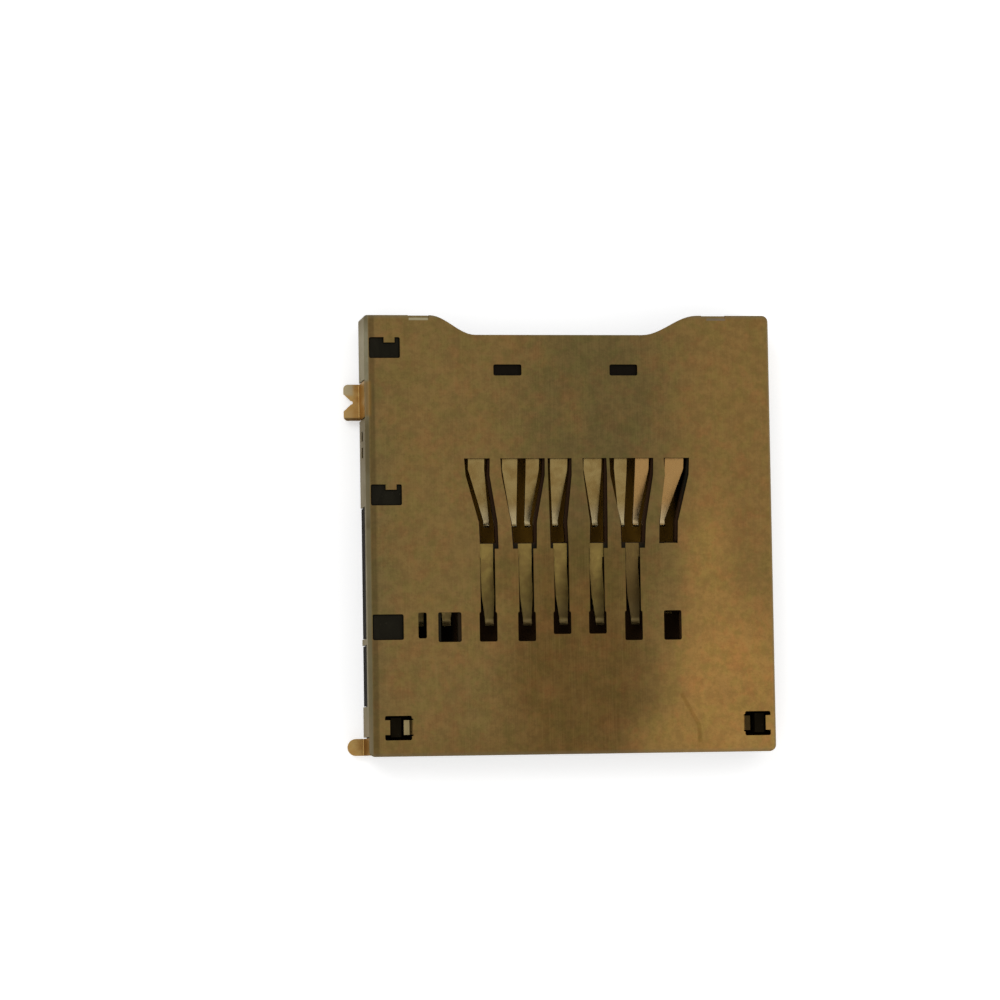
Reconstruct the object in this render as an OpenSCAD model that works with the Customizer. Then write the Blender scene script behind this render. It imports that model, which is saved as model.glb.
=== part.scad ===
// Full-size memory card socket, push-in push-out type, with two rows of contacts.
// X runs across the socket, the card goes in towards -Y, and Z is up from the circuit board.

/* [Stamped shell] */
// Depth from the rear edge to the front shoulders
shell_l = 29; // [28.4:0.1:30]
// Thickness of the sheet metal
sheet_t = 0.2; // [0.15:0.01:0.25]
// Outside radius of the folds
fold_r = 0.35; // [0.3:0.01:0.45]
// Radius of the corners of the windows
corner_r = 0.12; // [0.05:0.01:0.2]
// How far the thumb recess in the front edge goes back
recess_d = 1.3; // [0.8:0.05:1.6]
// Height of the high stretch of the left side wall's bottom edge above the board
wall_step_z = 2.3; // [2:0.05:2.35]

/* [Card space] */
// Width of the card
card_w = 24; // [23.5:0.05:25]
// Thickness of the card
card_t = 2.1; // [2:0.05:2.15]
// Thickness of the card's thin side rails
card_rail_t = 1.4; // [1.3:0.05:1.5]
// Width of the step down each side of the card
card_step = 0.7; // [0.6:0.05:0.75]
// Play around the card
card_play = 0.07; // [0.05:0.01:0.1]
// Width of the rail and the switch to the left of the card
rail_w = 0.75; // [0.7:0.01:0.9]
// Width of the slider's bay to the right of the card
bay_w = 1.91; // [1.85:0.01:2.1]

/* [Mouldings] */
// Thickness of the base's floor
floor_t = 0.3; // [0.25:0.05:0.4]
// Thickness of the contact block under the shell
block_t = 0.55; // [0.5:0.05:0.65]
// Depth of the base's rear block
rear_block_l = 2.6; // [2.2:0.1:2.7]
// Radius of the two locating pegs
peg_r = 0.5; // [0.4:0.05:0.6]
// Length of the locating pegs below the board's face
peg_l = 0.6; // [0.4:0.05:0.8]

/* [Contacts] */
// Thickness of the contact strip
strip_t = 0.15; // [0.12:0.01:0.16]
// Width of the main row's beams at their roots
main_beam_w = 0.84; // [0.7:0.02:0.9]
// Width of a contact's buried leg
leg_w = 0.2; // [0.16:0.01:0.22]
// Height of the contact points above the board at rest
tip_z = 1.5; // [1.45:0.01:1.6]
// Width of the windows in the shell over the main contacts
window_w = 1.18; // [1.1:0.02:1.2]

/* [Eject mechanism] */
// Travel of the slider from rest to fully pushed in
stroke = 6; // [5.5:0.1:6.2]
// How far in from rest the slider latches
latch_travel = 4.9; // [4.7:0.05:5]
// Radius of the cam pin's wire
pin_r = 0.18; // [0.15:0.01:0.2]
// Sideways swing of the cam pin's tip over the whole travel
pin_swing = 0.5; // [0.4:0.02:0.5]
// Outside diameter of the eject spring
spring_d = 1.25; // [1.1:0.05:1.3]
// Diameter of the eject spring's wire
spring_wire = 0.16; // [0.12:0.01:0.18]
// Turns of the eject spring
spring_turns = 16; // [12:1:18]

/* [Hidden] */
$fn = 48;
eps = 0.01;

// Levels above the board
ceiling_z = floor_t + card_t + 0.1;
block_top = ceiling_z + block_t;
shell_h = block_top + sheet_t;
strip_top = block_top - 0.1;
strip_z = strip_top - strip_t;
rail_z = floor_t + card_rail_t + 0.15;

// Faces across the socket
inner = (rail_w + card_w + 2 * card_play + bay_w) / 2;
side = inner + sheet_t;
card_left = -inner + rail_w;
card_right = card_left + card_w + 2 * card_play;
card_x = (card_left + card_right) / 2;
bay_x = card_right + 0.06;
block_right = card_right - card_step - 0.04;
block_left = -inner + fold_r - sheet_t;

// Faces along the socket, from the rear edge forwards
front = shell_l / 2;
rear = -front;
base_rear = rear + 0.55;
cavity_rear = base_rear + rear_block_l;
slider_end_play = 0.45;
slider_rear = cavity_rear + stroke + slider_end_play;
nose_y = slider_rear + 1;

// Faces along the socket, from the front edge back
base_front = front - 0.25;
block_front = front - 0.35;
slider_front = front - 4.8;

// Main contacts: places of the pads across the card, pad 1 first. They touch the pads when the card is latched
pad_margin = 0.75;
pad_reach = 3.25;
pad_pitch = (card_w - 2 * pad_margin) / 9;
pad4_x = card_x - pad_pitch / 20;
pad_x = concat([for (n = [1:7]) pad4_x + (4 - n) * pad_pitch],
               [pad4_x - 3.68 * pad_pitch, pad4_x + 4 * pad_pitch]);
main_x = pad_x + [-0.09, -0.21, -0.13, 0, 0.14, 0.07, 0.01, -0.1, 0];
main_lane = main_x + pad_pitch * [0.372, 0.42, 0.41, -0.312, -0.372, -0.372, -0.312, -0.272, 0.372];
main_beam_l = 4.05;
main_tip_y = nose_y - latch_travel + pad_reach;
main_root_y = main_tip_y + main_beam_l;
main_root_l = 0.9;
main_tip_w = 0.56;
straight_l = 0.7;
keep_main_l = main_beam_l - 1.5;
edge_beam_w = 0.55;
root_shift = [0, 0, 0, 0, 0, 0, 0, 0, 1.1];
tip_shift = [0.7, 0, 0, 0, 0, 0, 0, 0, 1.1];
tip_side = [0, 0.4, 0.42, 0.35, 0.28, 0.3, 0, 0, 0];

// Fast contacts: one row of eight, four on each side of its own centre line. Distances across are in pitches
fast_x = card_x + 1.04;
fast_side = [1, 1, 1, 1, -1, -1, -1, -1];
fast_root = pad_pitch * [2.637, 1.767, 1.187, 0.437, 0.473, 1.18, 1.786, 2.684];
fast_root_w = pad_pitch * [0.5, 0.365, 0.338, 0.48, 0.46, 0.352, 0.405, 0.432];
fast_tip = pad_pitch * [2.377, 1.664, 1.28, 0.559, 0.513, 1.261, 1.625, 2.364];
fast_leg = pad_pitch * [3.12, 2.12, 0.828, 0.1, 0.1, 0.828, 2.12, 3.12];
fast_lane = pad_pitch * [3.12, 2.12, 1.056, 0.128, 0.052, 1.02, 2.024, 3.12];
row_gap = 6.5;
fast_beam_l = 4.07;
fast_tip_y = main_tip_y + row_gap;
fast_root_y = fast_tip_y + fast_beam_l;
fast_root_l = 0.5;
fast_tip_w = 0.36;

// Solder tails behind the base, in their order from the left
tail_order = [8, 7, 17, 6, 16, 5, 15, 4, 14, 13, 3, 12, 2, 11, 1, 10, 9];
tail_pitch = pad_pitch / 2;
tail_x0 = card_x - 7.776 * tail_pitch;
tail_end_y = rear + 0.05;
fan_y = [main_tip_y - 2.15, base_rear + 3.35];

// Shell openings over the contacts
slot_w = 1;
slot_top = main_root_y + 0.6;
closed_end_y = main_root_y + 0.85;
edge_window_w = [0.56, 1.54];
window_front = main_tip_y + 0.45;
window_back = [1.5, 1.5, 1.05, 1.05, 1.5, 1.5, 1.5, 1.25];
beam_gap = 0.15;

// Windows in the shell's top face that show the mouldings
boss_window_x = [-side + 0.3, -side + 2.35];
boss_window_y = [[front - 2.84, front - 1.46], [front - 12.55, front - 11.17],
                 [main_tip_y - 1.33, main_tip_y + 0.35]];
boss_tab_x = [-side + 1.28, -side + 2];
boss_tab_l = 0.35;
boss_gap = 0.08;
corner_window_x = [[side - 2.92, side - 1.03], [side - 2.25, side - 0.41]];
corner_window_y = [rear + 1.06, rear + 2.66];
corner_tab_y = corner_window_y + [0.36, -0.28];
corner_tab_l = 0.33;
tongue_bulge = 0.12;
tongue_reach = 0.58;
tongue_step = 0.25;
tongue_drop = 0.6;
front_slot = [1.88, 0.74];
front_slot_at = [[-4.11, front - 3.63], [3.68, front - 3.63]];

// Edges of the shell that fold down at the front and the rear
lip_x = [[-side + 2.9, -side + 4.3], [side - 4.6, side - 3]];
lip_h = 0.45;
flange_h = 0.95;
bend_r = 0.15;
plan_corner_r = [[0.15, 0.38], [0.5, 0.55]];

// Floor of the base
peg_at = [[-side + 3.1, front - 5.5], [side - 3.3, front - 5.5]];
floor_slot_x = [-6.8, -2.3, 2.2, 6.7];
floor_slot_y = [front - 7.9, front - 4.3];
mouth_ramp = [0.8, 0.12];
rear_pocket_x = [-8.4, -4.3, -0.2, 3.9, 8];
rear_pocket_w = 3.4;
pocket_wall = 0.5;
pocket_z = 2;
comb_z = [0.5, 1.7];
comb_l = 0.12;

// Side walls
wall_lift = 0.08;
low_wall_y = [[[rear + 3.3, rear + 7.35], [rear + 7.75, front - 12.55]], [[rear + 3.3, front - 5.5]]];
low_wall_z = [wall_step_z, 1.3];
low_wall_inset = 0.06;
latch_z = [1.05, 1.75];
left_latch_y = [[front - 8.2, front - 7.55], [front - 9.3, front - 8.6]];
right_latch_y = [[front - 1.6, front - 0.8], [rear + 1.9, rear + 2.5]];

// Feet
foot_t = sheet_t;
foot_top = shell_h - fold_r;
foot_gap = 0.08;
fork_y = [front - 6.7, front - 4.3];
fork_reach = 1.05;
fork_notch = [0.5, 1.15];
fork_corner_r = 0.28;
round_y = [rear + 0.1, rear + 1.22];
round_reach = 1.08;
tab_top = 1.8;
tab_reach = 0.45;
tab_y = [[front - 3.9, front - 2.1], [rear + 0.75, rear + 1.65]];

// Slider and its arm, with a wedge for the card's cut corner
slider_x = [bay_x + 0.04, inner - 0.1];
slider_z = [floor_t + 0.05, ceiling_z - 0.05];
slider_gap = 0.05;
slider_corner = 0.25;
cut_x = card_right - 4.05;
arm_x = cut_x - 0.85;
arm_top = 1.25;
flange_x = block_right + 0.2;
flange_y = [slider_front - 8.8, slider_front - 1.1];
flange_top = ceiling_z + 0.05;
lock_y = [slider_front - 5.5, slider_front - 0.5];
lock_depth = 0.35;
core_y = [slider_front - 4.6, slider_front - 0.9];

// Heart cam and its pin
cam_z = flange_top - 0.45;
pivot = [bay_x + 0.95, front - 2.5];
tip = [bay_x + 0.55, slider_front - 8.1];
lane = pin_r + 0.09;
pin_z = block_top - 0.07 - pin_r;
latch_y = tip[1] + latch_travel;
heart_wall = 0.22;

// Eject spring, between pegs on the base and on the slider
spring_at = [slider_x[1] - spring_d / 2 - 0.02, floor_t + spring_d / 2 + 0.225];
spring_front = slider_rear + 4.5;
spring_rear = cavity_rear;
spring_peg = [0.3, 0.9];
pocket_top = spring_at[1] + spring_d / 2 + 0.175;
post_top = 1.95;

// Switches
leaf_t = 0.12;
wp_bump_y = fork_y[0] - 6.2;
wp_plate_y = [wp_bump_y - 3.5, wp_bump_y - 2.5];
wp_y = [wp_plate_y[0] - 0.5, fork_y[1] - 0.25];
detect_x = [card_left + 3.05, card_left + 4.25];
detect_z = 1.4;

// A box from its low and high faces on each axis
module slab(x, y, z) {
    translate([x[0], y[0], z[0]])
        cube([x[1] - x[0], y[1] - y[0], z[1] - z[0]]);
}

// A side profile drawn in Y and Z, made solid across X
module across(x0, x1) {
    translate([x0, 0, 0]) rotate([90, 0, 90]) linear_extrude(x1 - x0) children();
}

// A front profile drawn in X and Z, made solid along Y
module along(y0, y1) {
    translate([0, y1, 0]) rotate([90, 0, 0]) linear_extrude(y1 - y0) children();
}

// A plan drawn in X and Y, made solid between two heights
module upright(z0, z1) {
    translate([0, 0, z0]) linear_extrude(z1 - z0) children();
}

// A rectangular opening with rounded corners
module opening(x, y, r = corner_r) {
    translate([x[0] + r, y[0]]) square([x[1] - x[0] - 2 * r, y[1] - y[0]]);
    translate([x[0], y[0] + r]) square([x[1] - x[0], y[1] - y[0] - 2 * r]);
    for (cx = [x[0] + r, x[1] - r], cy = [y[0] + r, y[1] - r]) translate([cx, cy]) circle(r, $fn = 24);
}

function span(c, w) = [c - w / 2, c + w / 2];
function unit(v) = v / norm(v);
function left_of(a, b) = let (d = unit(b - a)) [-d[1], d[0]];
function arc(c, r, a0, a1, n) =
    [for (i = [0:n]) let (a = a0 + (a1 - a0) * i / n) c + r * [cos(a), sin(a)]];
function ease(x0, x1, y0, y1, n) =
    [for (i = [0:n]) [x0 + (x1 - x0) * i / n, y0 + (y1 - y0) * (1 - cos(180 * i / n)) / 2]];

// Outline of a strip of even thickness along a line of points, with mitred bends
function beside(p, i, h) = let (
    last = len(p) - 1,
    a = left_of(p[max(i - 1, 0)], p[max(i, 1)]),
    b = left_of(p[min(i, last - 1)], p[min(i + 1, last)]))
    p[i] + (a + b) * h / (1 + a * b);
function strip(p, t) = concat(
    [for (i = [0:len(p) - 1]) beside(p, i, t / 2)],
    [for (i = [len(p) - 1:-1:0]) beside(p, i, -t / 2)]);

// Thumb recess in the front edge, moved back by an offset for the pieces under the shell
module recess(back = 0) {
    y = front - back;
    deep = y - recess_d;
    left = [-side + 4.3, -side + 7.4];
    right = [side - 8.65, side - 4.9];
    polygon(concat([[left[0], front + 1]], ease(left[0], left[1], y, deep, 12),
                   ease(right[0], right[1], deep, y, 12), [[right[1], front + 1]]));
}

// Funnel openings over the fast contacts, from the outermost pair to the innermost, in pitches across.
// Each row gives the two edges at the root, below it, at the contact points and at the foot
funnel_edges = [[[2.35, 3.008], [2.38, 2.968], [2.21, 2.632], [2.2, 2.6]],
                [[0.88, 2.04], [0.904, 2.008], [1.16, 1.772], [1.18, 1.72]],
                [[0.16, 0.776], [0.184, 0.768], [0.344, 0.736], [0.328, 0.72]]];

// How much wider than these edges the openings are, at each of the four levels: in the shell and in the block
funnel_left = [0.04, 0.05, 0.06, 0.08];
funnel_right = [0.03, 0.08, 0.14, 0.16];
cell_left = [-0.03, 0.07, -0.02, 0];
cell_right = [-0.08, -0.08, -0.04, 0];

module funnels(foot_y, left, right) {
    levels = [fast_root_y, fast_root_y - 1.12, fast_tip_y - 0.15, foot_y];
    for (m = [-1, 1], f = pad_pitch * funnel_edges) translate([fast_x, 0]) polygon(concat(
        [for (k = [0:3]) [min(m * f[k]) - left[k], levels[k]]],
        [for (k = [3:-1:0]) [max(m * f[k]) + right[k], levels[k]]]));
}

// Shell

module fold_outline(w, h, r) {
    translate([-w / 2, 0]) square([w, h - r]);
    translate([-w / 2 + r, 0]) square([w - 2 * r, h]);
    for (s = [-1, 1]) translate([s * (w / 2 - r), h - r]) circle(r);
}

module folded_sheet() {
    along(rear, front) difference() {
        fold_outline(2 * side, shell_h, fold_r);
        fold_outline(2 * inner, shell_h - sheet_t, fold_r - sheet_t);
        translate([-side - 1, -1]) square([2 * side + 2, 1 + wall_lift]);
    }
}

module contact_openings() {
    difference() {
        funnels(slot_top - 0.05, funnel_left, funnel_right);
        translate([main_x[0] - 1, main_root_y]) square([2, closed_end_y - main_root_y]);
    }
    for (n = [1:8]) {
        w = n == 8 ? edge_window_w[0] : n == 7 ? edge_window_w[1] : window_w;
        opening(span(main_x[n - 1], w), [main_tip_y - window_back[n - 1], window_front]);
        if (n >= 2 && n <= 6) translate([main_x[n - 1] - slot_w / 2, window_front - corner_r])
            square([slot_w, slot_top - window_front + corner_r]);
    }
}

module boss_windows() {
    for (i = [0:2]) difference() {
        opening(boss_window_x, boss_window_y[i]);
        if (i < 2) translate([boss_tab_x[0], boss_window_y[i][1] - boss_tab_l])
            square([boss_tab_x[1] - boss_tab_x[0], boss_tab_l + 1]);
    }
}

// Window in a rear corner, drawn for the right side, with a tab at its outer edge
module corner_window(x) {
    difference() {
        union() {
            opening([x[0] + tongue_bulge, x[1]], corner_window_y);
            opening([x[0], x[1] - corner_tab_l], corner_tab_y + [-0.1, 0.1]);
        }
        translate([x[1] - corner_tab_l, corner_tab_y[0]])
            square([1, corner_tab_y[1] - corner_tab_y[0]]);
    }
}

// Tongue at the inner edge of a corner window: it steps down, and then runs level
module corner_tongue(x) {
    z = shell_h - sheet_t / 2;
    low = z - tongue_drop;
    along(corner_tab_y[0], corner_tab_y[1]) polygon(strip(concat(
        [[x - 0.3, z]], arc([x - 0.1, z - bend_r], bend_r, 90, 15, 4),
        arc([x + tongue_step, low + bend_r], bend_r, 195, 270, 4), [[x + tongue_reach, low]]), sheet_t));
}

// Edge of the shell's top folded down: sign is 1 at the front and -1 at the rear
module folded_edge(x, sign, h) {
    z = shell_h - sheet_t / 2;
    mid = front - sheet_t / 2;
    mirror([0, (1 - sign) / 2, 0]) across(x[0], x[1])
        polygon(strip(concat([[front - 0.8, z]], arc([mid - bend_r, z - bend_r], bend_r, 90, 0, 5),
                             [[mid, shell_h - h]]), sheet_t));
}

// Rounding of the shell's four corners in plan: the left ones first, each with the front before the rear
module plan_corners() {
    for (i = [0, 1], j = [0, 1]) mirror([1 - i, 0]) mirror([0, j]) difference() {
        r = plan_corner_r[i][j];
        translate([side - r, front - r]) square(1);
        translate([side - r, front - r]) circle(r);
    }
}

module shell() {
    rear_x = [-side + fold_r + 0.05, side - fold_r - 0.05];
    wall = [inner - 0.05, side + 1];
    color([0.47, 0.39, 0.24]) {
        difference() {
            folded_sheet();
            upright(block_top - 1, shell_h + 1) {
                recess();
                contact_openings();
                for (p = front_slot_at) opening(span(p[0], front_slot[0]), span(p[1], front_slot[1]));
            }
            upright(block_top - 0.2, shell_h + 1) {
                boss_windows();
                for (i = [0, 1]) mirror([1 - i, 0]) corner_window(corner_window_x[i]);
            }
            upright(-1, shell_h + 1) plan_corners();
            for (s = [0, 1]) mirror([1 - s, 0, 0]) {
                for (y = low_wall_y[s])
                    slab(wall, y, [0, low_wall_z[s]]);
                for (y = s == 0 ? left_latch_y : right_latch_y) slab(wall, y, latch_z);
            }
            mirror([1, 0, 0]) {
                slab(wall, fork_y + foot_gap * [-1, 1], [0, foot_top + foot_gap]);
                slab(wall, [rear - 1, round_y[1] + foot_gap], [0, foot_top + foot_gap]);
            }
            for (y = tab_y) slab(wall, y + foot_gap * [-1, 1], [0, tab_top + foot_gap]);
            for (x = lip_x) slab(x, [front - 0.3, front + 1], [block_top - 0.2, shell_h + 1]);
            slab(rear_x, [rear - 1, rear + 0.3], [block_top - 0.2, shell_h + 1]);
        }
        for (i = [0, 1]) mirror([1 - i, 0, 0]) corner_tongue(corner_window_x[i][0]);
        for (x = lip_x) folded_edge(x, 1, lip_h);
        folded_edge(rear_x, -1, flange_h);
    }
}

// Contacts

// Centre line of a spring beam in Y and Z: flat at the root, down to the contact point, then up again
function beam_line(y0, knee_y, knee_z, tip_y) = let (
    zc = strip_z + strip_t / 2,
    r = 0.42,
    slope = atan((knee_z - tip_z) / (knee_y - tip_y)))
    concat([[y0 + fast_root_l / 2, zc], [y0 - 0.15, zc], [knee_y, knee_z]],
           arc([tip_y, tip_z + strip_t / 2 + r], r, -90 + slope, -145, 6));

// Centre line of a solder tail in Y and Z: back out of the block, down behind the base and out to its foot
function tail_line() = let (
    zc = strip_z + strip_t / 2,
    yt = base_rear - strip_t / 2,
    r = 0.15)
    concat([[base_rear + 0.3, zc]], arc([yt + r, zc - r], r, 90, 180, 4),
           arc([yt - r, strip_t / 2 + r], r, 0, -90, 4), [[tail_end_y, strip_t / 2]]);

// Beam of a contact in plan and side view. It runs straight at first, and then keeps its width as far as keep_l
module beam(x_root, w_root, x_tip, w_tip, y0, keep_l, line) {
    end_y = line[len(line) - 1][0] - 1;
    tip_y = line[len(line) - 6][0];
    half = w_root / 2;
    turn_y = y0 - straight_l;
    kept_x = x_root + (x_tip - x_root) * (keep_l - straight_l) / (turn_y - tip_y);
    kept = keep_l == 0 ? [] : [[kept_x, y0 - keep_l]];
    intersection() {
        across(min(x_root, x_tip) - 2, max(x_root, x_tip) + 2) polygon(strip(line, strip_t));
        upright(0, shell_h) polygon(concat(
            [[x_root - half, y0 + fast_root_l], [x_root + half, y0 + fast_root_l], [x_root + half, turn_y]],
            [for (p = kept) p + [half, 0]],
            [[x_tip + w_tip / 2, tip_y], [x_tip + w_tip / 2, end_y],
             [x_tip - w_tip / 2, end_y], [x_tip - w_tip / 2, tip_y]],
            [for (p = kept) p - [half, 0]], [[x_root - half, turn_y]]));
    }
}

// Pad 9 sits nearer the mouth than pads 1 to 8, beside the card's cut corner
function main_shift(n) = root_shift[n - 1];
function main_w(n) = n == 8 ? edge_beam_w : main_beam_w;
function root_l(n) = n <= 9 ? main_root_l : fast_root_l;

// Each contact's places by its number: leg, lane, root, root width, tip, tip width, root's Y
function fast_place(i, k) = fast_x + fast_side[i] * k[i];
function lead(n) = n <= 9
    ? [main_lane[n - 1], main_lane[n - 1], main_x[n - 1], main_w(n),
       main_x[n - 1] + tip_side[n - 1], min(main_w(n), main_tip_w), main_root_y + main_shift(n)]
    : let (i = n - 10)
      [fast_place(i, fast_leg), fast_place(i, fast_lane), fast_place(i, fast_root), fast_root_w[i],
       fast_place(i, fast_tip), fast_tip_w, fast_root_y];
function lead_beam_line(n) = let (y0 = lead(n)[6])
    beam_line(y0, y0 - 0.9, strip_z - 0.1, n <= 9 ? main_tip_y + tip_shift[n - 1] : fast_tip_y);
function tail_x(n) = tail_x0 + tail_pitch * search(n, tail_order)[0];

// Flat part of a contact in plan: the root bar, the leg, and the fan out to the tail's place
module lead_plan(n, end = base_rear + 0.3) {
    c = lead(n);
    lo = min(c[0] - leg_w / 2, c[2] - c[3] / 2);
    hi = max(c[0] + leg_w / 2, c[2] + c[3] / 2);
    turn = n <= 9 ? [] : [[c[0], fast_tip_y - 0.35], [c[1], main_root_y + 0.8]];
    translate([lo, c[6]]) square([hi - lo, root_l(n)]);
    polygon(strip(concat([[c[0], c[6] + root_l(n) / 2]], turn,
                         [[c[1], fan_y[0]], [tail_x(n), fan_y[1]], [tail_x(n), end]]), leg_w));
}

module contact(n) {
    c = lead(n);
    color([0.72, 0.58, 0.34]) {
        upright(strip_z, strip_top) lead_plan(n);
        across(tail_x(n) - leg_w / 2, tail_x(n) + leg_w / 2) polygon(strip(tail_line(), strip_t));
        beam(c[2], c[3], c[4], c[5], c[6], n <= 9 ? keep_main_l : 0, lead_beam_line(n));
    }
}

// Contact block

module block_outline() {
    difference() {
        translate([block_left, base_rear + 0.15])
            square([block_right - block_left, block_front - base_rear - 0.15]);
        recess(0.1);
        translate([-inner - 1, rear])
            square([inner + 1 - corner_window_x[0][0] + 0.15, corner_window_y[1] + 0.1 - rear]);
    }
}

// Spaces that the beams bend into
module beam_spaces() {
    funnels(main_root_y + main_root_l + 0.05, cell_left, cell_right);
    for (n = [1:9]) {
        y = [main_tip_y - window_back[0], main_root_y] + main_shift(n) * [1, 1];
        x = span(main_x[n - 1], main_w(n) + 2 * beam_gap);
        lean = max(0, tip_side[n - 1] - 0.12);
        polygon([[x[0], y[0]], [x[0], y[1]], [x[1], y[1]],
                 [x[1] + lean, y[1] - keep_main_l], [x[1] + lean, y[0]]]);
    }
}

// Boss that shows in a window of the shell, notched for the shell's tab
module boss(y, notched) {
    difference() {
        slab([boss_window_x[0] + boss_gap, boss_window_x[1] - boss_gap], y, [ceiling_z, block_top + 0.05]);
        if (notched) slab(boss_tab_x + [-0.05, 0.05], [y[1] - boss_tab_l, y[1] + 1], [block_top, shell_h]);
    }
}

module contact_block() {
    color([0.11, 0.11, 0.1]) difference() {
        union() {
            upright(ceiling_z, block_top) block_outline();
            for (i = [0:2]) boss(boss_window_y[i] + [0.06, -0.06], i < 2);
        }
        upright(0, shell_h + 1) beam_spaces();
        upright(strip_z, strip_top) for (n = [1:17]) lead_plan(n, rear);
        upright(strip_top, shell_h + 1) for (n = [1:6])
            translate([main_x[n - 1] - slot_w / 2, main_root_y]) square([slot_w, main_root_l + 0.1]);
    }
}

// Base housing

module base_floor() {
    difference() {
        upright(0, floor_t) difference() {
            translate([-inner, base_rear]) square([2 * inner, base_front - base_rear]);
            recess(0.2);
        }
        for (x = floor_slot_x) upright(-1, 1) opening(span(x, 1.6), floor_slot_y, 0.3);
        across(-inner, inner) polygon([[base_front - mouth_ramp[0], floor_t], [base_front, floor_t - mouth_ramp[1]],
                                       [base_front + 1, floor_t - mouth_ramp[1]], [base_front + 1, floor_t + 1]]);
    }
    for (s = [0, 1]) mirror([1 - s, 0, 0])
        for (y = low_wall_y[s])
            slab([inner - eps, side - low_wall_inset], y + [0.05, -0.05], [0, low_wall_z[s]]);
}

module left_rail() {
    slab([-inner, card_left], [cavity_rear - eps, base_front], [0, rail_z]);
    for (y = [[cavity_rear - eps, wp_y[0]], [wp_y[1], base_front]])
        slab([-inner, card_left + card_step], y, [rail_z - eps, ceiling_z]);
}

module front_block() {
    difference() {
        union() {
            slab([bay_x, inner], [slider_front + slider_gap, base_front], [0, ceiling_z]);
            slab([flange_x - 0.1, inner], [slider_front + slider_gap, base_front], [rail_z + 0.1, ceiling_z]);
        }
        translate([pivot[0], pivot[1], ceiling_z - 1.1]) cylinder(r = pin_r + 0.04, h = 2);
    }
}

module rear_block() {
    slab([0.15 - corner_window_x[0][0], corner_window_x[1][0] - 0.15], [base_rear, cavity_rear], [0, ceiling_z]);
}

// Low corner of the base under a corner window, with a post that shows in it
module corner_post(x) {
    slab([x[0] - 0.3, inner], [base_rear, cavity_rear], [0, post_top]);
    slab([x[0] + tongue_reach + 0.22, x[1] - corner_tab_l - 0.07], corner_tab_y + [-0.15, 0.15], [0, block_top]);
}

module latch_bump(y) {
    along(y[0] + 0.05, y[1] - 0.05)
        polygon([[inner - 0.2, latch_z[0] + 0.03], [side - 0.04, latch_z[0] + 0.03], [inner - 0.2, latch_z[1]]]);
}

// Ribs on the rear face that keep the solder tails apart
module tail_comb() {
    for (i = [0:len(tail_order) - 2])
        slab(span(tail_x0 + tail_pitch * (i + 0.5), tail_pitch - leg_w - 0.24),
             [base_rear - comb_l, base_rear + eps], comb_z);
}

module spring_peg_at(y, turn) {
    translate([spring_at[0], y, spring_at[1]]) rotate([turn, 0, 0]) cylinder(r = spring_peg[0], h = spring_peg[1]);
}

module base_housing() {
    color([0.1, 0.1, 0.1]) {
        difference() {
            union() {
                base_floor();
                left_rail();
                rear_block();
                front_block();
                for (i = [0, 1]) mirror([1 - i, 0, 0]) corner_post(corner_window_x[i]);
                for (y = left_latch_y) mirror([1, 0, 0]) latch_bump(y);
                for (y = right_latch_y) latch_bump(y);
                tail_comb();
            }
            for (x = rear_pocket_x)
                slab(span(x, rear_pocket_w), [base_rear + pocket_wall, cavity_rear - pocket_wall], [-1, pocket_z]);
            slab(detect_x, [cavity_rear - foot_t, cavity_rear + 1], [-1, detect_z + foot_t]);
            slab([-inner - eps, -inner + 0.35], [round_y[0], cavity_rear + eps], [0.5, 1.6]);
            slab([-inner - eps, card_left + eps], [cavity_rear, cavity_rear + 0.9], [0.5, 1.6]);
            slab([-inner, -inner + foot_t], wp_plate_y, [-1, ceiling_z]);
        }
        spring_peg_at(spring_rear, -90);
        for (p = peg_at) translate([p[0], p[1], -peg_l]) cylinder(r = peg_r, h = peg_l + floor_t / 2);
    }
}

// Eject mechanism

// Heart cam in the slider's top: the right lane out, the latch notch, and the left lane back
module heart_groove() {
    rise = pin_swing / stroke;
    end_y = tip[1] + stroke + lane + 0.08;
    function lane_x(y) = tip[0] + (y - tip[1]) * rise;
    difference() {
        polygon([[tip[0] - lane, tip[1] - lane], [lane_x(tip[1] - lane) + lane, tip[1] - lane],
                 [lane_x(end_y) + lane, end_y], [tip[0] - 0.5, end_y],
                 [flange_x + heart_wall, end_y - 0.7], [flange_x + heart_wall, tip[1] + 2]]);
        heart_island(lane_x(latch_y - 3.6) - lane, lane_x(latch_y + 0.2) - lane);
    }
}

module heart_island(x_low, x_high) {
    polygon([[x_low, latch_y - 3.6], [x_high, latch_y + 0.2], [x_high - 0.18, latch_y - 0.28],
             [x_high - 0.46, latch_y + 0.22], [x_high - 0.55, latch_y - 0.4], [x_high - 0.55, latch_y - 3]]);
}

module slider_body() {
    c = slider_corner;
    upright(slider_z[0], slider_z[1]) polygon([
        [slider_x[0], slider_rear], [slider_x[1], slider_rear],
        [slider_x[1], slider_front - c], [slider_x[1] - c, slider_front],
        [slider_x[0] + c, slider_front], [slider_x[0], slider_front - c]]);
    slab([flange_x, slider_x[1]], flange_y, [rail_z + 0.05, flange_top]);
    upright(slider_z[0], arm_top) polygon([
        [slider_x[0] + eps, nose_y + slider_x[0] - cut_x], [cut_x, nose_y], [arm_x, nose_y],
        [arm_x, slider_rear], [slider_x[0] + eps, slider_rear]]);
}

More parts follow.
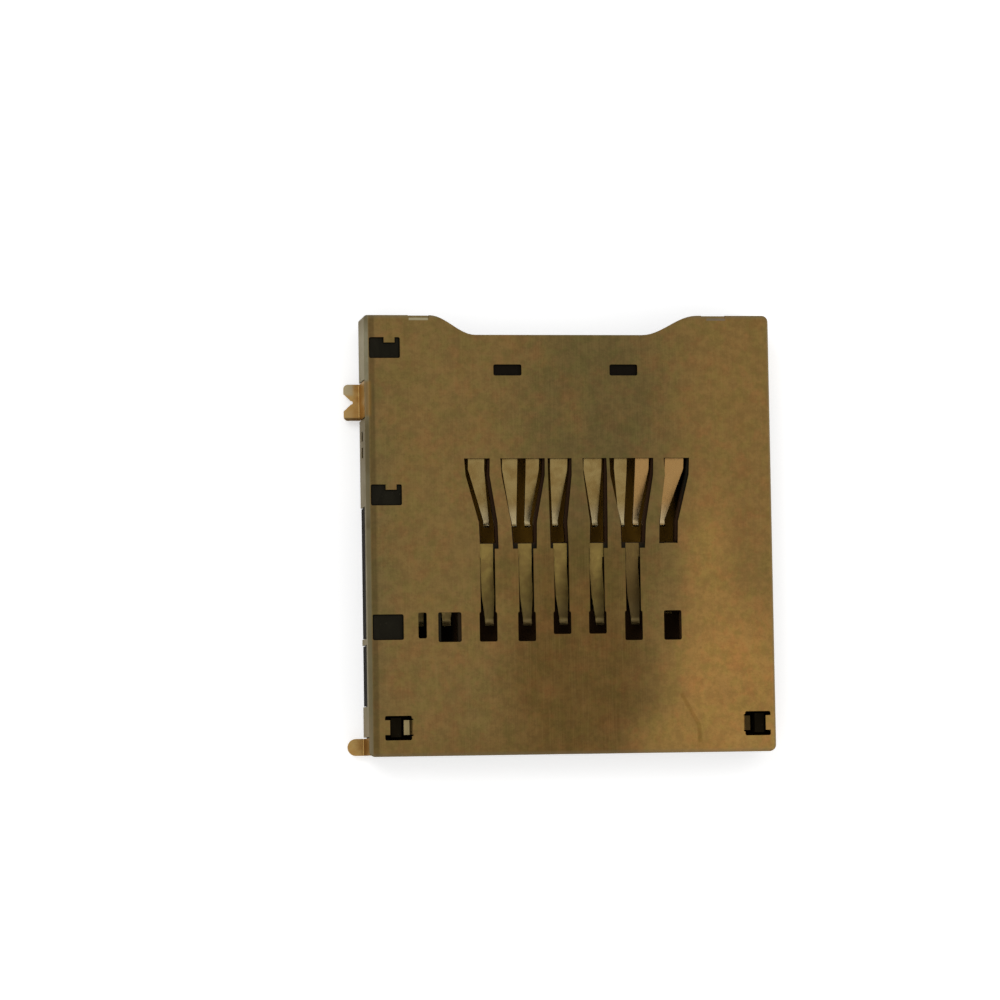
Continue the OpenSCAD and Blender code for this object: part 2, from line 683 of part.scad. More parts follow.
module slider() {
    color([0.13, 0.13, 0.14]) {
        difference() {
            slider_body();
            upright(cam_z, flange_top + 1) heart_groove();
            slab([spring_at[0] - spring_d / 2 - 0.04, inner], [slider_rear - 1, spring_front], [0, pocket_top]);
            slab([slider_x[0] - 1, slider_x[0] + lock_depth], lock_y, [0.55, 1.6]);
            slab([slider_x[1] - 0.5, inner], core_y, [0.7, 1.7]);
        }
        spring_peg_at(spring_front, 90);
    }
}

module cam_pin() {
    dir = unit(tip - pivot);
    turn = atan2(dir[1], dir[0]);
    color([0.62, 0.62, 0.62]) {
        translate([pivot[0], pivot[1], pin_z]) rotate([0, 90, turn]) cylinder(r = pin_r, h = norm(tip - pivot));
        for (p = [pivot, tip]) translate([p[0], p[1], pin_z]) sphere(pin_r);
        translate([pivot[0], pivot[1], ceiling_z - 1]) cylinder(r = pin_r, h = pin_z - ceiling_z + 1);
        translate([tip[0], tip[1], cam_z + 0.1]) cylinder(r = pin_r, h = pin_z - cam_z - 0.1);
    }
}

// Wire helix with closed ends, as rings of points joined by faces
module eject_spring() {
    sides = 6;
    steps = spring_turns * 12;
    wire = spring_wire / 2;
    mean_r = spring_d / 2 - wire;
    y0 = spring_rear + wire;
    run = spring_front - spring_rear - 2 * wire;
    function rise(i) = let (u = i / steps, e = 1 / spring_turns)
        u < e ? u * 0.25 : u > 1 - e ? 1 - (1 - u) * 0.25
        : e * 0.25 + (u - e) * (1 - 0.5 * e) / (1 - 2 * e);
    points = [for (i = [0:steps], k = [0:sides - 1]) let (
        a = i * 30,
        b = k * 360 / sides,
        r = mean_r + wire * cos(b))
        [spring_at[0] + r * cos(a), y0 + run * rise(i) + wire * sin(b), spring_at[1] + r * sin(a)]];
    color([0.6, 0.6, 0.6]) polyhedron(points, concat(
        [[for (k = [0:sides - 1]) k]],
        [for (i = [0:steps - 1], k = [0:sides - 1])
            let (n = (k + 1) % sides) [i * sides + k, (i + 1) * sides + k, (i + 1) * sides + n, i * sides + n]],
        [[for (k = [sides - 1:-1:0]) steps * sides + k]]));
}

// Leaf in the slider's side: flat at its fixed end, then bowed towards the card's notch
module card_lock_spring() {
    x = slider_x[0] + lock_depth - leaf_t / 2;
    y = lock_y[1];
    color([0.66, 0.6, 0.45]) upright(0.65, 1.5) polygon(strip([
        [x, y], [x, y - 1], [x - 0.3, y - 3.3], [card_right - 0.25, y - 3.9], [x - 0.25, y - 4.7]], leaf_t));
}

// Switches and feet

// Bent sheet of a foot on the left side: down the wall, then out over the board
module foot_sheet(y, top, reach) {
    mid = -side + foot_t / 2;
    along(y[0], y[1]) polygon(strip(concat(
        [[mid, top]], arc([mid - bend_r, foot_t / 2 + bend_r], bend_r, 0, -90, 5),
        [[-side - reach, foot_t / 2]]), foot_t));
}

module fork_foot() {
    r = fork_corner_r;
    x = -side - fork_reach;
    y = (fork_y[0] + fork_y[1]) / 2;
    half = fork_notch[1] / 2;
    intersection() {
        foot_sheet(fork_y, foot_top, fork_reach);
        upright(-1, shell_h) difference() {
            opening([x, -inner + 1], fork_y, r);
            polygon([[x - 1, y - half - 0.3], [x, y - half], [x + fork_notch[0], y - 0.1],
                     [x + fork_notch[0], y + 0.1], [x, y + half], [x - 1, y + half + 0.3]]);
            translate([x + fork_notch[0], y]) circle(0.12, $fn = 24);
        }
    }
}

module write_protect_leaf() {
    color([0.85, 0.62, 0.3]) {
        fork_foot();
        upright(rail_z + 0.05, ceiling_z - 0.05)
            polygon(strip([[-inner - leaf_t / 2, fork_y[0] + 0.5], [-inner + leaf_t, fork_y[0] - 0.3],
                           [card_left, wp_bump_y + 1.2], [card_left + 0.4, wp_bump_y],
                           [card_left, wp_bump_y - 1.2], [card_left - 0.1, wp_bump_y - 2.2]], leaf_t));
    }
}

module write_protect_contact() {
    color([0.85, 0.62, 0.3]) slab([-inner, -inner + foot_t], wp_plate_y, [0, ceiling_z - 0.05]);
}

module card_detect_leaf() {
    end = (round_y[1] - round_y[0]) / 2;
    y = cavity_rear;
    color([0.85, 0.6, 0.28]) {
        intersection() {
            foot_sheet(round_y, foot_top, round_reach);
            upright(-1, shell_h) {
                translate([-side - round_reach + end, round_y[0]]) square([round_reach, 2 * end]);
                translate([-side - round_reach + end, round_y[0] + end]) circle(end);
            }
        }
        upright(0.6, 1.5)
            polygon(strip([[-inner - leaf_t / 2, round_y[1] - 0.3], [-inner + 0.15, round_y[1] + 0.3],
                           [-inner + 0.15, y], [card_left + 0.35, y + 0.8], [detect_x[0], y + 2.15],
                           [detect_x[0] + 0.9, y + 2.85], [detect_x[0] + 1.6, y + 2.35]], leaf_t));
    }
}

module card_detect_contact() {
    color([0.85, 0.62, 0.3]) {
        slab(detect_x, [cavity_rear - foot_t, cavity_rear], [0, detect_z + foot_t]);
        slab(detect_x, [cavity_rear - foot_t, cavity_rear + 0.6], [detect_z, detect_z + foot_t]);
    }
}

module solder_tab(y) {
    color([0.85, 0.62, 0.3]) mirror([1, 0, 0]) foot_sheet(y, tab_top, tab_reach);
}

shell();
base_housing();
contact_block();
for (n = [1:17]) contact(n);
slider();
eject_spring();
cam_pin();
card_lock_spring();
write_protect_leaf();
write_protect_contact();
card_detect_leaf();
card_detect_contact();
solder_tab(tab_y[0]);  // solder_tab_front_right
solder_tab(tab_y[1]);  // solder_tab_rear_right
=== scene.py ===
import math

import bpy
from mathutils import Matrix, Vector


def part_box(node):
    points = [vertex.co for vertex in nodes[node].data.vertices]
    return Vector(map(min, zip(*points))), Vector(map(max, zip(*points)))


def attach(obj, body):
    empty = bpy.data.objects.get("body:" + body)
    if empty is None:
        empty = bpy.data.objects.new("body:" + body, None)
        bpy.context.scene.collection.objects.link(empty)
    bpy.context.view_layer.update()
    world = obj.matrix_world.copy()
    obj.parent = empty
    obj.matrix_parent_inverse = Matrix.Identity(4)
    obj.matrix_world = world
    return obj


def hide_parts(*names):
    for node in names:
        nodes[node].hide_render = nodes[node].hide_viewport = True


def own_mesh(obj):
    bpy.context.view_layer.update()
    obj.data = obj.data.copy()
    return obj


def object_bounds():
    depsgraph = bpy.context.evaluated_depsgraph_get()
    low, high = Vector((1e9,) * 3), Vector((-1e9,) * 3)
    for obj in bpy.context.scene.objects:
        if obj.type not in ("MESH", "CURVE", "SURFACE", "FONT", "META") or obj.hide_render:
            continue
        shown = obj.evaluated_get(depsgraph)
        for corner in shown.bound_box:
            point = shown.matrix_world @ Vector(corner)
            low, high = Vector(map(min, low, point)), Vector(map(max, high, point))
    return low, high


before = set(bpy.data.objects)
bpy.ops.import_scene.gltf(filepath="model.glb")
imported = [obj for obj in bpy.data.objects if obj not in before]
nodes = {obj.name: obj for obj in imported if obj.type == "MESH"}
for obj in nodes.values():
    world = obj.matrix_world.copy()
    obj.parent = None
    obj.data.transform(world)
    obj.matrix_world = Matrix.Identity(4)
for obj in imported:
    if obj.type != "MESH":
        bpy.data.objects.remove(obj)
cad_low, cad_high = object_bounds()

MM = 0.001

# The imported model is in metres. The marks of the finishes are in millimetres from the middle of the shell: X
# to the right, Y to the front, where the card goes in, and Z up. The shell's corner gives those at its rim.
spring_low, spring_high = (Vector(corner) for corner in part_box("eject_spring"))
WALL_X, FRONT_Y, TOP_Z = Vector(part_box("shell")[1]) / MM


def linear(r, g, b):
    """An sRGB colour of 0 to 255 as a linear one for a shader."""
    def one(c):
        c /= 255.0
        return c / 12.92 if c <= 0.04045 else ((c + 0.055) / 1.055) ** 2.4
    return (one(r), one(g), one(b), 1.0)


def brighter(tone, gain, lift=0.0):
    """A linear tone times the gain, plus the lift, and never above white."""
    return tuple(min(c * gain + lift, 1.0) for c in tone[:3]) + (1.0,)


# Camera

IMAGE = 1000
FOCAL_PX = 4000
SENSOR = 36
CLIP_NEAR, CLIP_FAR = 0.01, 10

# The view that lays the model's corners over those of the photo: turns about X, Y and Z in radians
VIEW_TURNS = (-0.06911, 0.15676, 0.00491)
VIEW_OFFSET = Vector((4.4477, -2.3592, -265.72)) * MM
VIEW_CENTRE = Vector((0, 0, 1.5)) * MM


def make_camera():
    data = bpy.data.cameras.new("camera")
    data.sensor_width = SENSOR
    data.lens = FOCAL_PX * SENSOR / IMAGE
    data.clip_start = CLIP_NEAR
    data.clip_end = CLIP_FAR
    turn_x, turn_y, turn_z = (Matrix.Rotation(turn, 3, axis) for turn, axis in zip(VIEW_TURNS, "XYZ"))
    back = (turn_z @ turn_y @ turn_x).transposed()
    camera = bpy.data.objects.new("camera", data)
    camera.matrix_world = Matrix.Translation(VIEW_CENTRE - back @ VIEW_OFFSET) @ back.to_4x4()
    bpy.context.scene.collection.objects.link(camera)
    bpy.context.scene.camera = camera


# Shader building

# The share of a stroke's half width that is full, and the part of a noise's range that most of it fills
STROKE_CORE = 0.3
NOISE_RANGE = (0.3, 0.7)


class NodeTree:
    """A node tree, with short calls for the nodes that every part of the scene uses."""

    def __init__(self, tree):
        self.tree = tree

    def node(self, kind, **settings):
        made = self.tree.nodes.new(kind)
        for key, value in settings.items():
            setattr(made, key, value)
        return made

    def link(self, source, target):
        """Links a socket to the target, or sets the target to a value."""
        if isinstance(source, bpy.types.NodeSocket):
            self.tree.links.new(source, target)
        else:
            target.default_value = source

    def math(self, operation, a, b=0.0, c=0.0, clamp=False):
        made = self.node("ShaderNodeMath", operation=operation, use_clamp=clamp)
        for value, target in zip((a, b, c), made.inputs):
            self.link(value, target)
        return made.outputs[0]

    def seen(self):
        """1 for rays from the camera, from a reflection and through glass, 0 for those that carry light."""
        path = self.node("ShaderNodeLightPath").outputs
        direct = self.math("MAXIMUM", path["Is Camera Ray"], path["Is Glossy Ray"])
        return self.math("MAXIMUM", direct, path["Is Transmission Ray"])


class Shade(NodeTree):
    """A material whose marks are in millimetres of the frame."""

    def __init__(self, name):
        self.material = bpy.data.materials.new(name)
        self.material.use_nodes = True
        super().__init__(self.material.node_tree)
        self.surface = self.tree.nodes["Principled BSDF"]
        self.output = self.tree.nodes["Material Output"]
        self.mm = self.vector("SCALE", self.node("ShaderNodeTexCoord").outputs["Object"], scale=1 / MM)

    def vector(self, operation, a, b=None, scale=None, result="Vector"):
        made = self.node("ShaderNodeVectorMath", operation=operation)
        self.link(a, made.inputs[0])
        if b is not None:
            self.link(b, made.inputs[1])
        if scale is not None:
            self.link(scale, made.inputs["Scale"])
        return made.outputs[result]

    def split(self, vector):
        made = self.node("ShaderNodeSeparateXYZ")
        self.link(vector, made.inputs[0])
        return made.outputs

    def facing_up(self):
        """1 where the surface looks up, 0 where it is upright, -1 where it looks down."""
        return self.split(self.node("ShaderNodeTexCoord").outputs["Normal"])["Z"]

    def stretched(self, scale=(1, 1, 1), shift=(0, 0, 0)):
        """The place, squeezed by the scale and shifted, for a noise that runs one way or lies elsewhere."""
        made = self.node("ShaderNodeMapping")
        self.link(self.mm, made.inputs["Vector"])
        made.inputs["Location"].default_value = shift
        made.inputs["Scale"].default_value = scale
        return made.outputs[0]

    def noise(self, per_mm, detail=3.0, rough=0.55, distortion=0.0, place=None):
        """A cloudy noise from 0 to 1, with its waves counted to the millimetre."""
        made = self.node("ShaderNodeTexNoise")
        self.link(self.mm if place is None else place, made.inputs["Vector"])
        made.inputs["Scale"].default_value = per_mm
        made.inputs["Detail"].default_value = detail
        made.inputs["Roughness"].default_value = rough
        made.inputs["Distortion"].default_value = distortion
        return made.outputs["Fac"]

    def ramp(self, value, start, full):
        """0 up to start and 1 from full on. With start above full it falls instead."""
        made = self.node("ShaderNodeMapRange", interpolation_type="SMOOTHSTEP")
        self.link(value, made.inputs["Value"])
        made.inputs["From Min"].default_value = min(start, full)
        made.inputs["From Max"].default_value = max(start, full)
        if start > full:
            made.inputs["To Min"].default_value = 1.0
            made.inputs["To Max"].default_value = 0.0
        return made.outputs["Result"]

    def band(self, value, low, high, soft):
        """1 between low and high, falling to 0 over soft on each side."""
        return self.times(self.ramp(value, low - soft, low), self.ramp(value, high + soft, high))

    def oval(self, centre, half, soft):
        """1 in the middle of an oval patch on the plan, falling to 0 at its rim."""
        away = self.vector("SUBTRACT", self.mm, (*centre, 0))
        away = self.vector("MULTIPLY", away, (1 / half[0], 1 / half[1], 0))
        return self.ramp(self.vector("LENGTH", away, result="Value"), 1.0, 1.0 - soft)

    def stroke(self, start, end, half):
        """1 along a straight stroke on the plan, falling to 0 at half its width."""
        ahead = (end[0] - start[0], end[1] - start[1], 0)
        away = self.vector("SUBTRACT", self.mm, (*start, 0))
        along = self.vector("DOT_PRODUCT", away, ahead, result="Value")
        along = self.math("MULTIPLY", along, 1 / math.hypot(*ahead) ** 2, clamp=True)
        away = self.vector("SUBTRACT", away, self.vector("SCALE", ahead, scale=along))
        away = self.vector("MULTIPLY", away, (1, 1, 0))
        return self.ramp(self.vector("LENGTH", away, result="Value"), half, half * STROKE_CORE)

    def times(self, *factors):
        product = factors[0]
        for factor in factors[1:]:
            product = self.math("MULTIPLY", product, factor)
        return product

    def uneven(self, noise, low, high):
        """A value between low and high that follows a noise."""
        return self.math("MULTIPLY_ADD", self.ramp(noise, *NOISE_RANGE), high - low, low)

    def mix(self, factor, a, b, blend="MIX"):
        made = self.node("ShaderNodeMix", data_type="RGBA", blend_type=blend)
        self.link(factor, made.inputs["Factor"])
        self.link(a, made.inputs["A"])
        self.link(b, made.inputs["B"])
        return made.outputs["Result"]

    def paint(self, colour, tone, *masks, share=1.0, blend="MIX"):
        """Lays a tone over a colour where all the masks are up, with the share as the most that it covers."""
        if share < 1.0:
            masks += (share,)
        return self.mix(self.times(*masks), colour, tone, blend)

    def bump(self, height, depth, strength, over=None):
        """A relief of the depth, over another relief where there is one."""
        made = self.node("ShaderNodeBump")
        made.inputs["Strength"].default_value = strength
        made.inputs["Distance"].default_value = depth * MM
        self.link(height, made.inputs["Height"])
        if over is not None:
            self.link(over, made.inputs["Normal"])
        return made.outputs["Normal"]

    def set(self, **values):
        """Sets or links the inputs of the surface, and gives the finished material."""
        for key, value in values.items():
            self.link(value, self.surface.inputs[key.replace("_", " ")])
        return self.material


# Shell

BRONZE = linear(105, 85, 46)
COPPER = linear(116, 87, 47)
SHEET_SPECKLE_AND_SHADE = linear(44, 33, 17)
BRUSHED_PALE = linear(140, 115, 70)
RIM_GREY = linear(104, 97, 76)
SHELL_SHEEN = (0.82, 0.74, 0.6, 1)

# Factors on the tone below them
REDDER = (1.1, 0.93, 0.97, 1)
GREENER = (0.91, 1.03, 0.91, 1)
STAIN_PALE = (1.19, 1.17, 1.24, 1)
STAIN_DARK = (0.95, 0.93, 0.99, 1)
CREASE_SHADE = (0.76, 0.7, 0.58, 1)

# Painted reflection and shade in broad patches on the top: middle and half size of an oval patch, soft share
# of its radius, strength and tone
SHELL_PAINTED_REFLECTIONS = (
    ((1.8, 7.0), (7.6, 17.0), 0.75, 0.9, (86, 73, 40)),
    ((0.4, -10.0), (7.2, 10.5), 0.65, 0.9, (85, 64, 29)),
    ((11.8, 4.0), (6.5, 24.0), 0.8, 0.8, (118, 92, 48)),
    ((10.6, -10.5), (6.2, 9.0), 0.75, 0.95, (143, 109, 56)),
    ((-14.0, 0.0), (3.4, 20.0), 0.8, 0.7, (95, 81, 47)),
    ((-9.4, 0.0), (2.8, 18.0), 0.9, 0.3, (113, 91, 49)),
    ((-4.0, -15.0), (13.0, 3.4), 0.8, 0.45, (92, 70, 34)),
    ((0.0, -2.4), (7.6, 3.8), 0.5, 0.5, (78, 63, 26)),
    ((9.2, -2.0), (2.8, 7.0), 0.9, 0.6, (142, 109, 56)),
    ((6.9, -13.6), (4.6, 2.8), 0.85, 0.7, (134, 104, 53)),
    ((12.4, -13.8), (2.8, 2.2), 0.85, 0.6, (142, 113, 59)),
)

# A faint bent crease near the rear right corner, drawn as a line of painted shade
CREASE = ((7.25, -10.7), (8.35, -12.7), (8.4, -13.7))
CREASE_HALF = 0.2

# Brushing runs along Y. Blushes and stains take other parts of the same noise.
BRUSHING = (13, 0.35, 1)
BLUSH_SHIFT = (31, 7, 0)
STAIN_SHIFT = (5, 19, 0)

# Painted reflection on the left wall: its common tone, then stretches of Y with their soft length, strength
# and tone
BEHIND = -FRONT_Y - 5.0
LEFT_WALL_REFLECTION = linear(82, 73, 50)
LEFT_WALL_REFLECTION_STRETCHES = (
    (9.0, 13.0, 2.0, 1.0, (122, 117, 96)),
    (1.5, 3.5, 1.0, 1.0, (94, 87, 66)),
    (BEHIND, 0.2, 0.4, 0.7, (104, 97, 72)),
    (BEHIND, -12.2, 0.6, 1.0, (108, 97, 74)),
)
LEFT_WALL_SPOT = linear(84, 74, 50)
LEFT_FOLD_HIGHLIGHT = linear(126, 116, 88)
RIGHT_WALL_REFLECTION = linear(128, 110, 78)
GROOVE_SHADE = linear(56, 45, 22)
FOLD_BY_FORK = linear(112, 84, 40)

LEFT_LIP_HIGHLIGHT = linear(148, 140, 112)
RIGHT_LIP_REFLECTION = linear(106, 95, 80)
LEFT_TONGUE_HIGHLIGHT = linear(150, 136, 98)
RIGHT_TONGUE = linear(36, 28, 12)

# How far a face looks up or down, from 0 upright to 1 level: where a mask starts and where it is full
FOLD_LEVEL = (0.2, 0.55)
LEFT_WALL_LEVEL = (0.995, 0.92)
RIGHT_WALL_LEVEL = (0.98, 0.7)
CUT_LEVEL = (0.3, 0.12)

# The same on X, Y and Z: both side walls, the left one, the tongues below the top, the front and rear rims,
# and the two halves of the plan
WALLS_X = (WALL_X - 0.5, WALL_X - 0.3)
LEFT_WALL_X = (-WALLS_X[0], -WALLS_X[1])
TONGUE_Z = (TOP_Z - 0.45, TOP_Z - 0.55)
RIM_Y = (FRONT_Y - 0.3, FRONT_Y - 0.05)
TO_LEFT = (1.0, -1.0)
TO_RIGHT = (-1.0, 1.0)

# Low end, high end and soft length of a band: the groove inside the left fold, the fold beside the fork, the
# front lips, and the tongues in the corner windows
GROOVE_X = (0.3 - WALL_X, 0.55 - WALL_X, 0.2)
FORK_Y = (8.0, 10.0, 0.3)
LEFT_LIP_X = (-10.6, -9.4, 0.08)
RIGHT_LIP_X = (9.4, 10.6, 0.08)
LIP_Y = (FRONT_Y - 0.3, FRONT_Y - 0.2, 0.06)
TONGUE_X = (9.5, 12.6, 0.1)
TONGUE_Y = (-13.9, -11.4, 0.1)


def top_colour(s, patch, mottle, brushed, fine):
    """Bronze with broad patches of painted reflection and shade, blushes, small stains, brushing and a line of
    painted shade along the crease.
    """
    blush = s.noise(0.8, detail=5.0, rough=0.6, distortion=0.3, place=s.stretched(shift=BLUSH_SHIFT))
    stain = s.noise(2.0, detail=6.0, rough=0.72, place=s.stretched(shift=STAIN_SHIFT))
    colour = BRONZE
    # Broad patches of painted reflection and shade
    for centre, half, soft, share, tone in SHELL_PAINTED_REFLECTIONS:
        colour = s.paint(colour, linear(*tone), s.oval(centre, half, soft), share=share)
    colour = s.paint(colour, COPPER, s.ramp(patch, 0.46, 0.7), share=0.3)
    colour = s.paint(colour, REDDER, s.ramp(blush, 0.46, 0.66), share=0.7, blend="MULTIPLY")
    colour = s.paint(colour, GREENER, s.ramp(mottle, 0.56, 0.38), share=0.7, blend="MULTIPLY")
    colour = s.paint(colour, BRUSHED_PALE, s.ramp(brushed, 0.4, 0.75), share=0.09)
    colour = s.paint(colour, SHEET_SPECKLE_AND_SHADE, s.ramp(fine, 0.52, 0.7), share=0.09)
    stains = s.mix(s.ramp(stain, 0.36, 0.64), STAIN_PALE, STAIN_DARK)
    colour = s.mix(1.0, colour, stains, "MULTIPLY")
    # Painted shade along the crease line
    strokes = (s.stroke(start, end, CREASE_HALF) for start, end in zip(CREASE, CREASE[1:]))
    return s.paint(colour, CREASE_SHADE, s.math("MAXIMUM", *strokes), share=0.65, blend="MULTIPLY")


def paint_left_wall_reflection(s, y, mottle, fold):
    """Painted reflection on the left wall: greyer than the top, palest at the front, with a painted highlight
    on the fold.
    """
    colour = LEFT_WALL_REFLECTION
    for low, high, soft, share, tone in LEFT_WALL_REFLECTION_STRETCHES:
        colour = s.paint(colour, linear(*tone), s.band(y, low, high, soft), share=share)
    colour = s.paint(colour, LEFT_WALL_SPOT, s.ramp(mottle, 0.4, 0.65), share=0.25)
    return s.paint(colour, LEFT_FOLD_HIGHLIGHT, fold, share=0.12)


def shell_material():
    """Stamped sheet: bronze on top with broad patches of painted reflection, a greyer painted reflection on
    the left wall, fine brushing from front to rear, and painted highlights and shade at the fold, groove,
    lips, tongues and cut edges.
    """
    s = Shade("stamped_shell")
    x, y, z = s.split(s.mm)
    side = s.math("ABSOLUTE", x)
    level = s.math("ABSOLUTE", s.facing_up())
    fold = s.ramp(level, *FOLD_LEVEL)
    patch = s.noise(0.42, detail=4.0, distortion=0.2)
    mottle = s.noise(1.1, detail=5.0, rough=0.6)
    fine = s.noise(8.0, detail=3.0)
    grain = s.noise(26.0, detail=2.0)
    brushed = s.noise(1.0, detail=3.0, place=s.stretched(BRUSHING))
    colour = top_colour(s, patch, mottle, brushed, fine)

    left = s.ramp(x, *LEFT_WALL_X)
    walls = s.ramp(side, *WALLS_X)
    right = s.math("SUBTRACT", walls, left)
    # Painted reflection on the side walls: greyer on the left wall, paler on the right one
    colour = s.paint(colour, paint_left_wall_reflection(s, y, mottle, fold), left, s.ramp(level, *LEFT_WALL_LEVEL))
    colour = s.paint(colour, RIGHT_WALL_REFLECTION, right, s.ramp(level, *RIGHT_WALL_LEVEL), share=0.7)
    # Painted shade in the groove inside the left fold
    colour = s.paint(colour, GROOVE_SHADE, s.band(x, *GROOVE_X), share=0.45)
    colour = s.paint(colour, FOLD_BY_FORK, s.band(y, *FORK_Y), left, fold, share=0.7)

    # Cut edges of the sheet are in shade, and the front and rear rims are greyer
    cut_face = s.times(s.ramp(level, *CUT_LEVEL), s.math("SUBTRACT", 1.0, walls))
    colour = s.paint(colour, SHEET_SPECKLE_AND_SHADE, cut_face, share=0.85)
    colour = s.paint(colour, RIM_GREY, s.ramp(s.math("ABSOLUTE", y), *RIM_Y), share=0.35)
    # Painted highlight on the bend of the left front lip, and a greyer painted reflection on the right one
    lips = s.band(y, *LIP_Y)
    colour = s.paint(colour, LEFT_LIP_HIGHLIGHT, s.band(x, *LEFT_LIP_X), lips, share=0.85)
    colour = s.paint(colour, RIGHT_LIP_REFLECTION, s.band(x, *RIGHT_LIP_X), lips, share=0.8)

    # Painted highlight on the left tongue, painted shade on the right one
    tongues = s.times(s.ramp(z, *TONGUE_Z), s.band(y, *TONGUE_Y), s.band(side, *TONGUE_X))
    colour = s.paint(colour, LEFT_TONGUE_HIGHLIGHT, tongues, s.ramp(x, *TO_LEFT), share=0.9)
    colour = s.paint(colour, RIGHT_TONGUE, tongues, s.ramp(x, *TO_RIGHT), share=0.9)

    rough = s.uneven(patch, 0.4, 0.5)
    relief = s.bump(s.math("MULTIPLY_ADD", fine, 0.6, grain), depth=0.004, strength=0.3)
    relief = s.bump(brushed, depth=0.004, strength=0.35, over=relief)
    return s.set(Base_Color=colour, Metallic=0.9, Roughness=rough, Specular_Tint=SHELL_SHEEN, Normal=relief)


# Mouldings

DUST = linear(120, 112, 92)
MOULDING_SHEEN = (1, 0.93, 0.78, 1)
FLOW_RUN = (1, 0.35, 1)
WELL_BOUNCE_LIGHT = linear(66, 46, 26)
SLOT_SHADE = linear(8, 3, 1)

# How far a face looks up, with -1 for an underside. Above the first it takes some of the painted warm light of
# the cells, and above the second all of it.
UNDERSIDE = (-0.5, -0.1)

# Bands of painted warm light under the fast beams and under the windows, and of painted shade in the two front
# slots: low end, high end and soft length
CELLS_X, CELLS_Y = (-7.2, 7.2, 0.6), (-0.3, 5.0, 0.6)
WELLS_X, WELLS_Y = (-7.2, 8.2, 0.6), (-8.2, -5.0, 0.3)
SLOTS_X, SLOTS_Y = (-6.0, 6.0, 0.6), (9.9, 11.8, 0.3)


def moulding_material(name, tone, base_rough=0.5, shine=0.2, warm=None):
    """Black glass-filled moulding: fine grain, faint flow marks and a little dust. Warm is a tone of painted
    light bounced from the plated beams into its open cells; with it the wells under the windows take painted
    warm light and the two front slots painted shade."""
    s = Shade(name)
    flow = s.noise(0.8, detail=4.0, distortion=1.5, place=s.stretched(FLOW_RUN))
    grain = s.noise(14.0, detail=3.0)
    dust = s.ramp(s.noise(6.0, detail=2.0), 0.66, 0.74)
    colour = s.paint(tone, brighter(tone, 1.8, lift=0.001), s.ramp(flow, 0.35, 0.7), share=0.6)
    colour = s.paint(colour, DUST, dust, share=0.06)
    if warm:
        x, y, _ = s.split(s.mm)
        not_below = s.ramp(s.facing_up(), *UNDERSIDE)
        # Painted warm light bounced from the plated beams, in the cells and in the wells under the windows
        colour = s.paint(colour, warm, s.band(y, *CELLS_Y), s.band(x, *CELLS_X), not_below, share=0.85)
        colour = s.paint(colour, WELL_BOUNCE_LIGHT, s.band(y, *WELLS_Y), s.band(x, *WELLS_X), not_below, share=0.8)
        # Painted shade deep in the two front slots
        colour = s.paint(colour, SLOT_SHADE, s.band(y, *SLOTS_Y), s.band(x, *SLOTS_X), share=0.85)
    rough = s.uneven(grain, base_rough - 0.08, base_rough + 0.1)
    return s.set(Base_Color=colour, Roughness=rough, Specular_IOR_Level=shine, Specular_Tint=MOULDING_SHEEN,
                 Normal=s.bump(grain, depth=0.006, strength=0.45))


# Contacts and leaves

TINNED = linear(176, 170, 150)
TINNED_Y = (-11.5, -13.0)
SIDE_SOFT = 0.3
STREAK_RUN = (4.0, 0.5, 1)

# How far in front of a contact's tip its two steps of painted highlight start and are full, and the share of
# each
TIP_HIGHLIGHT = ((2.0, 0.5, 0.3), (0.5, 0.2, 0.85))


def plated_material(name, pale, deep, rough=(0.22, 0.38), metal=1.0, tail=None, tips=None, side=None):
    """Plated spring strip: paler where it is worn, redder in the hollows. Tail is its tone behind the base.
    Tips gives the Y of the contact tips and the tone of a painted highlight there. Side gives an X and a tone
    of painted reflection for the strips beyond it."""
    s = Shade(name)
    cloud = s.noise(1.1, detail=4.0, distortion=0.4)
    streak = s.noise(5.0, detail=3.0, place=s.stretched(STREAK_RUN))
    x, y, _ = s.split(s.mm)
    colour = s.mix(s.ramp(cloud, 0.32, 0.68), deep, pale)
    if side:
        # Painted reflection on the strips beyond the side X
        side_x, tone = side
        colour = s.paint(colour, tone, s.ramp(x, side_x - SIDE_SOFT, side_x + SIDE_SOFT), share=0.8)
    colour = s.paint(colour, brighter(pale, 1.25), s.ramp(streak, 0.5, 0.7), share=0.25)
    if tips:
        # Painted highlight at the contact tips
        tip_y, tone = tips
        for start, full, share in TIP_HIGHLIGHT:
            colour = s.paint(colour, tone, s.ramp(y, tip_y + start, tip_y + full), share=share)
    if tail:
        colour = s.paint(colour, tail, s.ramp(y, *TINNED_Y))
    return s.set(Base_Color=colour, Metallic=metal, Roughness=s.uneven(streak, *rough),
                 Normal=s.bump(streak, depth=0.003, strength=0.3))


# Feet

FOOT_DEEP = linear(158, 122, 68)
FOOT_PALE = linear(168, 140, 86)
FOOT_STREAK = linear(184, 156, 108)
FOOT_STREAK_RUN = (0.6, 4.0, 1)
FOOT_SHEEN = (0.97, 0.8, 0.58, 1)
FRONT_PRONG = linear(160, 148, 118)
REAR_PRONG = linear(166, 138, 90)
FORK_REAR_EDGE_SHADE = linear(70, 52, 30)
FORK_UPRIGHT_SHADE = linear(112, 84, 40)
ROUND_UPRIGHT_SHADE = linear(84, 56, 22)

# The two feet at the left side: where a mask starts and where it is full
PRONG_X = (-13.9, -14.15)
FRONT_PRONG_Y = (9.35, 9.6)
REAR_PRONG_Y = (8.6, 8.35)
FORK_FROM_Y = (4.0, 5.0)
ROUND_FROM_Y = (-12.0, -13.0)
LEFT_SIDE_X = (-10.0, -11.0)
UPRIGHT_LEVEL = (0.7, 0.3)

# Low end, high end and soft length of the painted shade at the fork's rear edge and on the strips
FORK_EDGE_Y = (7.75, 7.93, 0.1)
UPRIGHT_X = (-13.75, -13.2, 0.08)


